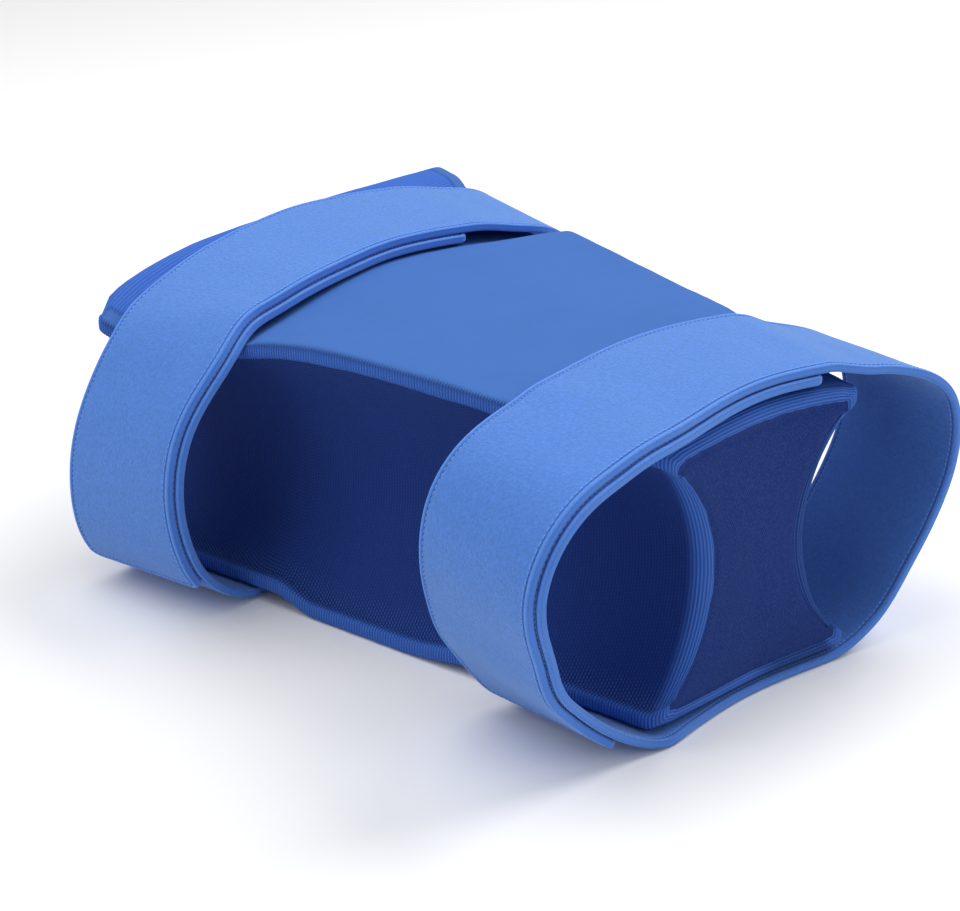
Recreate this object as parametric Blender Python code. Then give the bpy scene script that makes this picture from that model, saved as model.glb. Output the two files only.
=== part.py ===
"""Hip abduction pillow: a firm foam wedge with a hollow for a leg along each side, and two soft
bands wound round it, each holding an open loop for a leg on either side.

Metres, +Z up. The origin is on the floor under the middle of the wedge. +X points to the narrow
end, -Y to the near side and +Y to the far side.
"""

import math

import bmesh
import bpy
from mathutils import Vector

# The foam wedge
PILLOW_LENGTH = 0.474
NARROW_END = 0.225
NARROW_WIDTH = 0.17
WIDE_WIDTH = 0.34
PILLOW_HEIGHT = 0.20
LIP_THICKNESS = 0.012
LIP_THINNING = 0.30
HOLLOW_DEPTH = 0.037
END_ROUND = 0.012
CROWN = 0.002

# Both ends bulge out in the middle, by this share of a line square to both sides. The wide end
# runs askew by this slope, and the narrow end's far corner reaches out this far.
WIDE_END_BOW = 0.36
NARROW_END_BOW = 0.30
WIDE_END_SKEW = 0.094
FAR_CORNER_REACH = 0.008

# How far the bands have pressed the edges of the top down, and where
NEAR_DROOP = 0.031
NEAR_DROOP_CENTRE = -0.174
NEAR_DROOP_SPREAD = 0.088
NEAR_CORNER_DROOP = 0.003
NEAR_CORNER_START = 0.06
NEAR_CORNER_RUN = 0.12
FAR_DROOP_INSIDE = 0.012
FAR_DROOP_SLOPE = 0.030

# The bands
BAND_WIDTH = 0.104
BAND_THICKNESS = 0.0055
LAYER_GAP = 0.0008
BAND_CLEARANCE = 0.0008
FLOOR_GAP = 0.0003
LIP_CLEARANCE = 0.003
EDGE_ROUND = 0.0014
EDGE_THICKNESS_SHARE = 0.85
GROOVE_MARGIN = 0.020
GROOVE_SLOPE = 0.012

# The cut ends of a band: rounded corners, and a rim that thins out
END_CORNER_RADIUS = 0.008
RIM_LENGTH = 0.003
RIM_THICKNESS_SHARE = 0.5

# The outer layer climbs on to the inner one this far before the inner one's end
CLIMB_START = 0.045
CLIMB_LENGTH = 0.040

# A band slides aside from its inner end to its near loop, and back again under the wedge, at
# these shares of one turn
SLIDE_OUT_RUN = 0.25
SLIDE_BACK_START = 0.45
SLIDE_BACK_RUN = 0.30

# How finely the shapes are cut up
LENGTH_STEPS = 22
WIDTH_STEPS = 10
HOLLOW_STEPS = 8
NOSE_DEGREES = (-90, -45, 0, 45)
END_DEGREES = (0, 25, 50, 70, 90)
BAND_STEPS_PER_TURN = 64
TIP_PLACES = (0.0, 0.0007, 0.0022, 0.0045, END_CORNER_RADIUS)
TRAVEL_REACH = 0.002
WELD_DISTANCE = 0.00001
SHARP_DEGREES = 50
CLOTH_ROUGHNESS = 0.85

WIDE_END = NARROW_END - PILLOW_LENGTH
SIDE_SLOPE = (WIDE_WIDTH - NARROW_WIDTH) / 2 / PILLOW_LENGTH
SIDE_ANGLE = math.atan(SIDE_SLOPE)
BOW_SOFTNESS = 0.05

NEAR = -1
FAR = 1

# Each band: where its middle crosses the centre line, how far it runs askew, and the place of its
# loops along the near and the far side. inner_end is how far towards the far side its hidden end
# lies, inner_shift and loop_shift how far the inner layer lies aside there and at the near loop,
# and outer_end_row is the row of the near loop where its open end is cut. far_droop is how far the
# band presses the wedge's far edge down.
BANDS = {
    "calf_strap": {
        "centre": -0.1675, "askew": -0.015, "near_along": -0.166, "far_along": -0.180,
        "inner_end": 0.074, "inner_shift": 0.003, "loop_shift": 0.003, "outer_end_row": 7.35,
        "far_droop": 0.011,
    },
    "thigh_strap": {
        "centre": 0.1695, "askew": 0.0, "near_along": 0.159, "far_along": 0.160,
        "inner_end": 0.062, "inner_shift": 0.002, "loop_shift": 0.0035, "outer_end_row": 10.5,
        "far_droop": 0.007,
    },
}

# Inner face of each loop, from the top edge of the wedge down to its bottom edge. "wide" is the
# band edge nearer the wide end, "narrow" the other one: distance out and height, and how far
# the band has slid along the leg.
LOOP_COLUMNS = ("wide_out", "wide_up", "narrow_out", "narrow_up", "slide")
LOOPS = {
    ("calf_strap", NEAR): [
        (0.1360, 0.1640, 0.1400, 0.1810, 0.000),
        (0.1490, 0.1470, 0.1590, 0.1630, -0.002),
        (0.1620, 0.1240, 0.1740, 0.1390, -0.004),
        (0.1700, 0.1030, 0.1830, 0.1150, -0.005),
        (0.1730, 0.0800, 0.1840, 0.0890, -0.006),
        (0.1710, 0.0540, 0.1780, 0.0630, -0.007),
        (0.1610, 0.0300, 0.1660, 0.0370, -0.008),
        (0.1450, 0.0140, 0.1480, 0.0180, -0.006),
        (0.1270, 0.0065, 0.1280, 0.0075, -0.003),
    ],
    ("calf_strap", FAR): [
        (0.1390, 0.1870, 0.1390, 0.1870, 0.000),
        (0.1580, 0.1660, 0.1580, 0.1670, 0.000),
        (0.1710, 0.1370, 0.1720, 0.1400, 0.000),
        (0.1770, 0.1050, 0.1780, 0.1090, 0.000),
        (0.1740, 0.0720, 0.1750, 0.0760, 0.000),
        (0.1620, 0.0400, 0.1630, 0.0430, 0.000),
        (0.1450, 0.0170, 0.1460, 0.0190, 0.000),
        (0.1270, 0.0070, 0.1270, 0.0075, 0.000),
    ],
    ("thigh_strap", NEAR): [
        (0.1320, 0.1970, 0.1440, 0.1990, 0.000),
        (0.1560, 0.1930, 0.1700, 0.1950, -0.002),
        (0.1800, 0.1850, 0.2000, 0.1880, -0.004),
        (0.1950, 0.1710, 0.2210, 0.1730, -0.006),
        (0.2010, 0.1520, 0.2320, 0.1500, -0.008),
        (0.2000, 0.1300, 0.2290, 0.1260, -0.010),
        (0.1940, 0.1100, 0.2180, 0.1020, -0.012),
        (0.1830, 0.0820, 0.2070, 0.0750, -0.013),
        (0.1660, 0.0580, 0.1850, 0.0520, -0.014),
        (0.1470, 0.0320, 0.1600, 0.0290, -0.011),
        (0.1290, 0.0110, 0.1330, 0.0105, -0.006),
    ],
    ("thigh_strap", FAR): [
        (0.1320, 0.1925, 0.1420, 0.1950, 0.000),
        (0.1550, 0.1850, 0.1660, 0.1885, 0.000),
        (0.1780, 0.1745, 0.1880, 0.1790, 0.000),
        (0.1950, 0.1590, 0.2040, 0.1640, 0.000),
        (0.2020, 0.1380, 0.2100, 0.1420, 0.000),
        (0.2000, 0.1130, 0.2080, 0.1150, 0.000),
        (0.1880, 0.0840, 0.1960, 0.0840, 0.000),
        (0.1690, 0.0540, 0.1770, 0.0530, 0.000),
        (0.1490, 0.0250, 0.1560, 0.0240, 0.000),
        (0.1290, 0.0090, 0.1310, 0.0085, 0.000),
    ],
}

# Where a band's rows lie across the top and the bottom, as shares of the wedge's half width
ACROSS_ROWS = (0.92, 0.72, 0.50, 0.25, 0.0, -0.25, -0.50, -0.72, -0.92)

COLOURS = {
    "pillow": (0.010, 0.075, 0.330),
    "calf_strap": (0.030, 0.170, 0.640),
    "thigh_strap": (0.030, 0.170, 0.640),
}


def clear_scene():
    for thing in list(bpy.data.objects):
        bpy.data.objects.remove(thing, do_unlink=True)


def clamp(value):
    return min(1.0, max(0.0, value))


def smooth(value):
    value = clamp(value)
    return value * value * (3 - 2 * value)


def half_width(x):
    """Half the width of the wedge between its lips."""
    return NARROW_WIDTH / 2 + (NARROW_END - x) * SIDE_SLOPE


def bow(y):
    """A line square to both slanted sides runs this much further towards the narrow end."""
    return SIDE_SLOPE * (math.hypot(y, BOW_SOFTNESS) - BOW_SOFTNESS)


def beyond_band(band, x, y):
    """How far a point of the wedge lies outside a band's edge, below zero under the band."""
    middle = band["centre"] + band["askew"] * y + bow(y)
    return abs(x - middle) - BAND_WIDTH / 2


def top_height(x, y):
    """Height of the wedge's top, crowned in the middle and pressed down along its edges."""
    share = y / half_width(x)
    if y < 0:
        away = (x - NEAR_DROOP_CENTRE) / NEAR_DROOP_SPREAD
        drop = NEAR_DROOP * math.exp(-away * away)
        drop += NEAR_CORNER_DROOP * smooth((x - NEAR_CORNER_START) / NEAR_CORNER_RUN)
    else:
        drop = 0.0
        for band in BANDS.values():
            beyond = beyond_band(band, x, y) + FAR_DROOP_INSIDE
            drop += band["far_droop"] * smooth(1 - beyond / FAR_DROOP_SLOPE)
    return PILLOW_HEIGHT + CROWN * (1 - share * share) - drop * share * share


def groove_depth(x, y):
    """How deep the bands press into the wedge's underside."""
    share = clamp(abs(y) / half_width(x))
    full = FLOOR_GAP + BAND_THICKNESS + BAND_CLEARANCE + LIP_CLEARANCE * share ** 4
    depth = 0.0
    for band in BANDS.values():
        beyond = beyond_band(band, x, y) - GROOVE_MARGIN
        depth = max(depth, full * smooth(1 - beyond / GROOVE_SLOPE))
    return depth


def wedge_point(station, y, z):
    """A point of the wedge, with the bow and the skew of its sections put on."""
    straighter = smooth(station / NARROW_END)
    bowed = WIDE_END_BOW + (NARROW_END_BOW - WIDE_END_BOW) * straighter
    skew = WIDE_END_SKEW * smooth(station / WIDE_END)
    corner = max(0.0, y) / half_width(station)
    reach = FAR_CORNER_REACH * straighter * corner * corner
    return Vector((station + bow(y) * bowed - skew * y + reach, y, z))


def lip_and_hollow(station, side, inset):
    """Side of a section from its bottom to its top: lower lip, hollow for the leg, upper lip.

    Each point is a distance out from the centre line and a height.
    """
    out = half_width(station) - inset
    lip_y = side * half_width(station)
    lip_x = wedge_point(station, lip_y, 0).x
    top = top_height(lip_x, lip_y) - inset
    bottom = groove_depth(lip_x, lip_y) + inset
    nose = LIP_THICKNESS / 2 * (1 - LIP_THINNING * inset / END_ROUND)
    lower = []
    upper = []
    for degrees in NOSE_DEGREES:
        turn = math.radians(degrees)
        reach = out - nose + nose * math.cos(turn)
        lower.append((reach, bottom + nose + nose * math.sin(turn)))
        upper.append((reach, top - nose - nose * math.sin(turn)))
    low = bottom + 2 * nose
    high = top - 2 * nose
    sag = HOLLOW_DEPTH - nose
    radius = ((high - low) ** 2 / 4 + sag ** 2) / (2 * sag)
    half_turn = math.asin((high - low) / 2 / radius)
    hollow = []
    for step in range(HOLLOW_STEPS + 1):
        turn = half_turn * (2 * step / HOLLOW_STEPS - 1)
        depth = radius * math.cos(turn) - radius + sag
        hollow.append((out - nose - depth, (low + high) / 2 + radius * math.sin(turn)))
    return lower + hollow + upper[::-1]


def wedge_stations():
    """Place along the wedge and inset of each section, with both ends rounded over."""
    turns = [math.radians(degrees) for degrees in END_DEGREES]
    stations = []
    for turn in turns[::-1]:
        inset = END_ROUND * (1 - math.cos(turn))
        stations.append((WIDE_END + END_ROUND * (1 - math.sin(turn)), inset))
    for step in range(1, LENGTH_STEPS):
        run = step / LENGTH_STEPS * (PILLOW_LENGTH - 2 * END_ROUND)
        stations.append((WIDE_END + END_ROUND + run, 0.0))
    for turn in turns:
        inset = END_ROUND * (1 - math.cos(turn))
        stations.append((NARROW_END - END_ROUND * (1 - math.sin(turn)), inset))
    return stations


def wedge_grid(station, inset):
    """One section as columns from the near side to the far side, each from bottom to top."""
    near = lip_and_hollow(station, NEAR, inset)
    far = lip_and_hollow(station, FAR, inset)
    grid = []
    for column in range(WIDTH_STEPS + 1):
        share = column / WIDTH_STEPS
        line = []
        for row, (near_side, far_side) in enumerate(zip(near, far)):
            y = -near_side[0] * (1 - share) + far_side[0] * share
            z = near_side[1] * (1 - share) + far_side[1] * share
            if 0 < column < WIDTH_STEPS and row == 0:
                z = groove_depth(wedge_point(station, y, z).x, y) + inset
            if 0 < column < WIDTH_STEPS and row == len(near) - 1:
                z = top_height(wedge_point(station, y, z).x, y) - inset
            line.append(wedge_point(station, y, z))
        grid.append(line)
    return grid


def ring_of(grid):
    """The outline of a section's grid, once round."""
    bottom = [line[0] for line in grid]
    top = [line[-1] for line in grid]
    return bottom[:-1] + grid[-1][:-1] + top[:0:-1] + grid[0][:0:-1]


def finish(name, mesh_data):
    """Put a bmesh on an object of its own with its own material."""
    bmesh.ops.remove_doubles(mesh_data, verts=mesh_data.verts, dist=WELD_DISTANCE)
    bmesh.ops.recalc_face_normals(mesh_data, faces=mesh_data.faces)
    bmesh.ops.triangulate(mesh_data, faces=mesh_data.faces)
    mesh = bpy.data.meshes.new(name)
    mesh_data.to_mesh(mesh)
    mesh_data.free()
    thing = bpy.data.objects.new(name, mesh)
    bpy.context.collection.objects.link(thing)
    mesh.shade_smooth()
    mesh.set_sharp_from_angle(angle=math.radians(SHARP_DEGREES))
    material = bpy.data.materials.new(name + "_cloth")
    material.use_nodes = True
    shader = material.node_tree.nodes["Principled BSDF"]
    shader.inputs["Base Color"].default_value = (*COLOURS[name], 1.0)
    shader.inputs["Roughness"].default_value = CLOTH_ROUGHNESS
    shader.inputs["Metallic"].default_value = 0.0
    mesh.materials.append(material)
    return thing


def add_tube(mesh_data, rings):
    """Skin a row of closed rings, and return their vertices."""
    made = [[mesh_data.verts.new(point) for point in ring] for ring in rings]
    for first, second in zip(made, made[1:]):
        count = len(first)
        for index in range(count):
            after = (index + 1) % count
            mesh_data.faces.new((first[index], first[after], second[after], second[index]))
    return made


def add_end_grid(mesh_data, grid):
    """Fill one end of the wedge."""
    made = [[mesh_data.verts.new(point) for point in line] for line in grid]
    for left, right in zip(made, made[1:]):
        for row in range(len(left) - 1):
            mesh_data.faces.new((left[row], right[row], right[row + 1], left[row + 1]))


def make_pillow():
    mesh_data = bmesh.new()
    grids = [wedge_grid(station, inset) for station, inset in wedge_stations()]
    add_tube(mesh_data, [ring_of(grid) for grid in grids])
    add_end_grid(mesh_data, grids[0])
    add_end_grid(mesh_data, grids[-1])
    return finish("pillow", mesh_data)


def side_point(side, along, out, up):
    """A point beside the wedge, measured along and square to its slanted side."""
    x = along * math.cos(SIDE_ANGLE) + out * math.sin(SIDE_ANGLE)
    y = side * (out * math.cos(SIDE_ANGLE) - along * math.sin(SIDE_ANGLE))
    return Vector((x, y, up))


def across_point(band, share, edge, under):
    """A point of a band's edge on top of the wedge or underneath it."""
    x = band["centre"] + edge * BAND_WIDTH / 2
    y = share * half_width(x)
    x += band["askew"] * y + bow(y)
    if under:
        return Vector((x, y, BAND_THICKNESS + FLOOR_GAP))
    gap = BAND_CLEARANCE + LIP_CLEARANCE * abs(share) ** 6
    return Vector((x, y, top_height(x, y) + gap))


def loop_rows(name, side):
    """Both edges of a band round one leg space, from the top edge down."""
    along = BANDS[name]["near_along" if side == NEAR else "far_along"]
    rows = []
    for values in LOOPS[(name, side)]:
        row = dict(zip(LOOP_COLUMNS, values))
        middle = along + row["slide"]
        wide = side_point(side, middle - BAND_WIDTH / 2, row["wide_out"], row["wide_up"])
        narrow = side_point(side, middle + BAND_WIDTH / 2, row["narrow_out"], row["narrow_up"])
        rows.append((wide, narrow))
    return rows


def band_rows(name):
    """Both edges of one full turn: over the top, round the near loop, under, round the far one."""
    band = BANDS[name]
    over = [[across_point(band, share, edge, False) for edge in (-1, 1)] for share in ACROSS_ROWS]
    under = [[across_point(band, share, edge, True) for edge in (-1, 1)] for share in ACROSS_ROWS]
    return over + loop_rows(name, NEAR) + under[::-1] + loop_rows(name, FAR)[::-1]


def turn_lengths(rows):
    """Length along the middle of the band to each row, and once round."""
    middles = [(wide + narrow) / 2 for wide, narrow in rows]
    lengths = [0.0]
    for first, second in zip(middles, middles[1:] + middles[:1]):
        lengths.append(lengths[-1] + (second - first).length)
    return lengths


def point_on_turn(rows, lengths, edge, place):
    """A smooth closed curve through one edge of the rows, read at a length along the band."""
    count = len(rows)
    place = place % lengths[-1]
    index = max(i for i in range(count) if lengths[i] <= place)

    def knot(step):
        turns, slot = divmod(index + step, count)
        return rows[slot][edge], lengths[slot] + turns * lengths[-1]

    (p0, t0), (p1, t1), (p2, t2), (p3, t3) = (knot(step) for step in (-1, 0, 1, 2))
    slope_1 = (p2 - p0) / (t2 - t0)
    slope_2 = (p3 - p1) / (t3 - t1)
    span = t2 - t1
    f = (place - t1) / span
    return (
        p1 * (2 * f ** 3 - 3 * f ** 2 + 1)
        + slope_1 * span * (f ** 3 - 2 * f ** 2 + f)
        + p2 * (3 * f ** 2 - 2 * f ** 3)
        + slope_2 * span * (f ** 3 - f ** 2)
    )


def length_at(lengths, row):
    """Length along the band to a row, which may be part of the way to the next one."""
    whole = int(row)
    return lengths[whole] + (row - whole) * (lengths[whole + 1] - lengths[whole])


def band_places(start, end, step):
    """Lengths at which a band has a ring: even steps, closer together at its two cut ends."""
    places = [start + tip for tip in TIP_PLACES]
    first = math.ceil(places[-1] / step + 0.3)
    last = math.floor((end - TIP_PLACES[-1]) / step - 0.3)
    places += [index * step for index in range(first, last + 1)]
    return places + [end - tip for tip in TIP_PLACES[::-1]]


def band_ring(rows, lengths, place, shift, layer, tip):
    """The cross-section of a band: a flat strip with rounded edges, lying on its layer."""
    ahead = [point_on_turn(rows, lengths, edge, place + TRAVEL_REACH) for edge in (0, 1)]
    behind = [point_on_turn(rows, lengths, edge, place - TRAVEL_REACH) for edge in (0, 1)]
    wide = point_on_turn(rows, lengths, 0, place)
    narrow = point_on_turn(rows, lengths, 1, place)
    across = (narrow - wide).normalized()
    travel = (ahead[0] + ahead[1] - behind[0] - behind[1]).normalized()
    outward = travel.cross(across).normalized()
    lift = BAND_THICKNESS / 2 + layer * (BAND_THICKNESS + LAYER_GAP)
    middle = (wide + narrow) / 2 + across * shift + outward * lift
    corner = clamp(1 - tip / END_CORNER_RADIUS)
    reach = BAND_WIDTH / 2 - END_CORNER_RADIUS * (1 - math.sqrt(1 - corner * corner))
    rim = clamp(1 - tip / RIM_LENGTH) ** 2
    half = BAND_THICKNESS / 2 * (1 - (1 - RIM_THICKNESS_SHARE) * rim)
    shoulder = reach - EDGE_ROUND
    asides = (-shoulder, -reach / 2, 0, reach / 2, shoulder)
    heights = (half * EDGE_THICKNESS_SHARE, half, half, half, half * EDGE_THICKNESS_SHARE)
    face = list(zip(asides, heights))
    upper = [middle + across * aside + outward * height for aside, height in face]
    lower = [middle + across * aside - outward * height for aside, height in face[::-1]]
    return [middle - across * reach] + upper + [middle + across * reach] + lower


def make_band(name):
    """One long band, wound nearly one and a half times."""
    band = BANDS[name]
    rows = band_rows(name)
    lengths = turn_lengths(rows)
    round_once = lengths[-1]
    start_share = band["inner_end"] / half_width(band["centre"])
    above = max(i for i, share in enumerate(ACROSS_ROWS) if share > start_share)
    row_gap = ACROSS_ROWS[above] - ACROSS_ROWS[above + 1]
    start = length_at(lengths, above + (ACROSS_ROWS[above] - start_share) / row_gap)
    end = length_at(lengths, len(ACROSS_ROWS) - 1 + band["outer_end_row"]) + round_once
    inner_shift = band["inner_shift"]
    loop_shift = band["loop_shift"]
    rings = []
    for place in band_places(start, end, round_once / BAND_STEPS_PER_TURN):
        layer = smooth((place - round_once - start + CLIMB_START) / CLIMB_LENGTH)
        run = (place - start) / round_once
        shift = inner_shift + (loop_shift - inner_shift) * smooth(run / SLIDE_OUT_RUN)
        shift *= 1 - smooth((run - SLIDE_BACK_START) / SLIDE_BACK_RUN)
        tip = min(place - start, end - place)
        rings.append(band_ring(rows, lengths, place, shift, layer, tip))
    mesh_data = bmesh.new()
    made = add_tube(mesh_data, rings)
    mesh_data.faces.new(made[0][::-1])
    mesh_data.faces.new(made[-1])
    return finish(name, mesh_data)


def main():
    clear_scene()
    make_pillow()
    for name in BANDS:
        make_band(name)


main()
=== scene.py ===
"""Looks of the hip abduction pillow: a foam wedge in a ribbed knit cover, and two brushed bands
wound round it with an open loop for a leg on either side. All in metres, in the CAD's frame.
"""

import math

import bmesh
import bpy
from mathutils import Matrix, Vector, noise


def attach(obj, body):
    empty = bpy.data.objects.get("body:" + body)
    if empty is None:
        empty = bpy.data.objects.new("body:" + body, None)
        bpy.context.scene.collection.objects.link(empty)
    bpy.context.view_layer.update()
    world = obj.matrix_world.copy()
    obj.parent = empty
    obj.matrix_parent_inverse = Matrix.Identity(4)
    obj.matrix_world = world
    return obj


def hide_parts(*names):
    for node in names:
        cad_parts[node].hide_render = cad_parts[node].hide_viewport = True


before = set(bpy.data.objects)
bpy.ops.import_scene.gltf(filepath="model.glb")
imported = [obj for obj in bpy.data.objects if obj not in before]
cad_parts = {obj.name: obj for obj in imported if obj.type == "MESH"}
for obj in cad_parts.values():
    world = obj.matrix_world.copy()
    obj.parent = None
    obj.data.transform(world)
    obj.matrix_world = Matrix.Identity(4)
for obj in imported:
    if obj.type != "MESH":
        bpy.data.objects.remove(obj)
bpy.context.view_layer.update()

bl_info = {
    "name": "Hip abduction pillow",
    "version": (1, 0, 0),
    "blender": (4, 5, 0),
    "location": "View3D > Sidebar > Abduction pillow",
    "description": "Adds the wedge in its knit cover, its two wound bands and a small studio",
    "category": "Add Mesh",
}

# The foam wedge, as in the part's source but for how it gives beside the bands
PILLOW_LENGTH = 0.474
NARROW_END = 0.225
NARROW_WIDTH = 0.17
WIDE_WIDTH = 0.34
PILLOW_HEIGHT = 0.20
LIP_THICKNESS = 0.012
LIP_THINNING = 0.30
HOLLOW_DEPTH = 0.037
END_ROUND = 0.012
CROWN = 0.002
WIDE_END_BOW = 0.36
NARROW_END_BOW = 0.30
WIDE_END_SKEW = 0.094
FAR_CORNER_REACH = 0.008
NEAR_DROOP = 0.031
NEAR_DROOP_CENTRE = -0.174
NEAR_DROOP_SPREAD = 0.088
NEAR_BEND = 1.6
NEAR_CORNER_DROOP = 0.003
NEAR_CORNER_START = 0.06
NEAR_CORNER_RUN = 0.12
FAR_DROOP_INSIDE = 0.012
FAR_DROOP_SLOPE = 0.040
FAR_CORNER_RISE = 0.006
FAR_CORNER_START = 0.003
FAR_CORNER_RUN = 0.006

# The bands, as in the part's source but for their clearance at the lips and some rows of the calf
# band's loops. The presses in the wedge's underside run out more gently at its near edge
BAND_WIDTH = 0.104
BAND_THICKNESS = 0.0055
LAYER_GAP = 0.0008
BAND_CLEARANCE = 0.0008
FLOOR_GAP = 0.0003
LIP_CLEARANCE = 0.0024
GROOVE_MARGIN = 0.020
GROOVE_SLOPE = 0.012
CALF_NEAR_RUN = 0.0245
THIGH_NEAR_RUN = 0.070
NEAR_RUN_START = 0.55
NEAR_RUN_BLEND = 0.45
BETWEEN_BANDS = 0.02
END_CORNER_RADIUS = 0.008
SLIDE_OUT_RUN = 0.25
SLIDE_BACK_START = 0.45
SLIDE_BACK_RUN = 0.30
TRAVEL_REACH = 0.002
NEAR_ARCH_MIDDLE = -0.62
NEAR_ARCH_SPREAD = 0.24

WIDE_END = NARROW_END - PILLOW_LENGTH
SIDE_SLOPE = (WIDE_WIDTH - NARROW_WIDTH) / 2 / PILLOW_LENGTH
SIDE_ANGLE = math.atan(SIDE_SLOPE)
BOW_SOFTNESS = 0.05

NEAR = -1
FAR = 1

# Each band: its middle on the centre line, how askew it lies, and the middles of its loops along
# the slanted sides; how far its inner end is from the centre line; how far it shifts aside on top
# and in the loops; the row where it ends; how deep it presses the far edge; where and over what
# length it climbs onto its inner end; and how far it arches before the near lip
BANDS = {
    "calf_strap": {
        "centre": -0.1675, "askew": -0.015, "near_along": -0.166, "far_along": -0.180,
        "inner_end": 0.074, "inner_shift": 0.003, "loop_shift": 0.003, "outer_end_row": 7.35,
        "far_droop": 0.014, "climb_start": 0.072, "climb_length": 0.066, "near_arch": 0.003,
    },
    "thigh_strap": {
        "centre": 0.1695, "askew": 0.0, "near_along": 0.159, "far_along": 0.160,
        "inner_end": 0.062, "inner_shift": 0.002, "loop_shift": 0.0035, "outer_end_row": 10.5,
        "far_droop": 0.007, "climb_start": 0.045, "climb_length": 0.040, "near_arch": 0.0,
    },
}

# Inner face of each loop, from the top edge of the wedge down to its bottom edge: distance out
# and height of the band edge nearer the wide end and of the other one, and how far a near loop
# has slid along the leg
LOOP_COLUMNS = ("wide_out", "wide_up", "narrow_out", "narrow_up", "slide")
LOOPS = {
    ("calf_strap", NEAR): [
        (0.1360, 0.1640, 0.1385, 0.1762, 0.0),
        (0.1490, 0.1470, 0.1580, 0.1588, -0.002),
        (0.1620, 0.1240, 0.1740, 0.1390, -0.004),
        (0.1700, 0.1030, 0.1830, 0.1150, -0.005),
        (0.1730, 0.0800, 0.1840, 0.0890, -0.006),
        (0.1710, 0.0540, 0.1780, 0.0630, -0.007),
        (0.1610, 0.0300, 0.1660, 0.0370, -0.008),
        (0.1450, 0.0140, 0.1480, 0.0180, -0.006),
        (0.1270, 0.0065, 0.1280, 0.0075, -0.003),
    ],
    ("calf_strap", FAR): [
        (0.1350, 0.1820, 0.1345, 0.1815),
        (0.1540, 0.1615, 0.1530, 0.1610),
        (0.1680, 0.1345, 0.1680, 0.1360),
        (0.1770, 0.1050, 0.1780, 0.1090),
        (0.1740, 0.0720, 0.1750, 0.0760),
        (0.1620, 0.0400, 0.1630, 0.0430),
        (0.1450, 0.0170, 0.1460, 0.0190),
        (0.1270, 0.0070, 0.1270, 0.0075),
    ],
    ("thigh_strap", NEAR): [
        (0.1320, 0.1970, 0.1440, 0.1990, 0.0),
        (0.1560, 0.1930, 0.1700, 0.1950, -0.002),
        (0.1800, 0.1850, 0.2000, 0.1880, -0.004),
        (0.1950, 0.1710, 0.2210, 0.1730, -0.006),
        (0.2010, 0.1520, 0.2320, 0.1500, -0.008),
        (0.2000, 0.1300, 0.2290, 0.1260, -0.010),
        (0.1940, 0.1100, 0.2180, 0.1020, -0.012),
        (0.1830, 0.0820, 0.2070, 0.0750, -0.013),
        (0.1660, 0.0580, 0.1850, 0.0520, -0.014),
        (0.1470, 0.0320, 0.1600, 0.0290, -0.011),
        (0.1290, 0.0110, 0.1330, 0.0105, -0.006),
    ],
    ("thigh_strap", FAR): [
        (0.1320, 0.1925, 0.1420, 0.1950),
        (0.1550, 0.1850, 0.1660, 0.1885),
        (0.1780, 0.1745, 0.1880, 0.1790),
        (0.1950, 0.1590, 0.2040, 0.1640),
        (0.2020, 0.1380, 0.2100, 0.1420),
        (0.2000, 0.1130, 0.2080, 0.1150),
        (0.1880, 0.0840, 0.1960, 0.0840),
        (0.1690, 0.0540, 0.1770, 0.0530),
        (0.1490, 0.0250, 0.1560, 0.0240),
        (0.1290, 0.0090, 0.1310, 0.0085),
    ],
}

# Where a band has a row of its path on top of the wedge and under it, in shares of its half width
ACROSS_ROWS = (0.92, 0.72, 0.50, 0.25, 0.0, -0.25, -0.50, -0.72, -0.92)

# How finely the cover is cut: four stations to a rib, so that the ribs are real relief
RIB_PITCH = 0.0022
STATION_STEP = RIB_PITCH / 4
TOP_COLUMNS = 36
NOSE_STEPS = 9
HOLLOW_STEPS = 22
NOSE_SQUARENESS = 3.2
SIDE_POINTS = 2 * NOSE_STEPS + HOLLOW_STEPS + 1
WELD = 0.00001
BAND_WELD = 0.00003
SHORTEST_EDGE = 0.000005

# The top cloth ends under the calf band. From there to the wide end the cover is ribbed, and on
# the near side it springs back up by a share of the droop and bulges out
FLANGE_START = -0.205
FLANGE_BLEND = 0.008
FLANGE_EDGE = -0.218
FLANGE_RISE = 0.5
FLANGE_RISE_RUN = 0.028
FLANGE_BULGE = 0.007
FLANGE_BULGE_RUN = 0.044
FLANGE_RIBS = 0.65

# How the cloths change over an end roll, by its turn from the straight part in radians. The roll
# is darker on the far side, below a height, where it takes more of the side colour's painted shade
ROLL_RIBS_RUN = 0.7
ROLL_LIP_RUN = 0.9
TOP_CLOTH_END = 0.15
TOP_CLOTH_BLEND = 0.5
DARK_ROLL_BELOW = 0.18
DARK_ROLL_BLEND = 0.03
DARK_ROLL_SHARE = 0.85

# The cover's relief: how far it swells beside a band and sinks under it, its ripples (height and
# fineness), the crease round an end panel, the panel's own swell, and the ribs
BESIDE_BAND = 0.0008
UNDER_BAND = 0.0026
UNDER_BAND_START = 0.004
UNDER_BAND_RUN = 0.022
COVER_RIPPLES = ((0.0005, 28.0), (0.0002, 90.0))
PANEL_CREASE = 0.0009
PANEL_CREASE_SPREAD = 0.0020
PANEL_SWELL = 0.0010
PANEL_SWELL_RUN = 0.03
RIB_HEIGHT = 0.00022

# What counts as the cover's top and its underside: height, and how far the surface faces up
TOP_ABOVE = 0.15
TOP_FACING = 0.3
UNDERSIDE_BELOW = 0.02
UNDERSIDE_FACING = -0.5

# What each vertex of the cover carries: how strongly it is ribbed, its share of the top cloth,
# how far it lies inside an end panel, the rib's wave there, and its share of the lips' cloth
COVER_LAYERS = ("ribs", "top_cloth", "inside_panel", "rib_wave", "lip_cloth")

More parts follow.
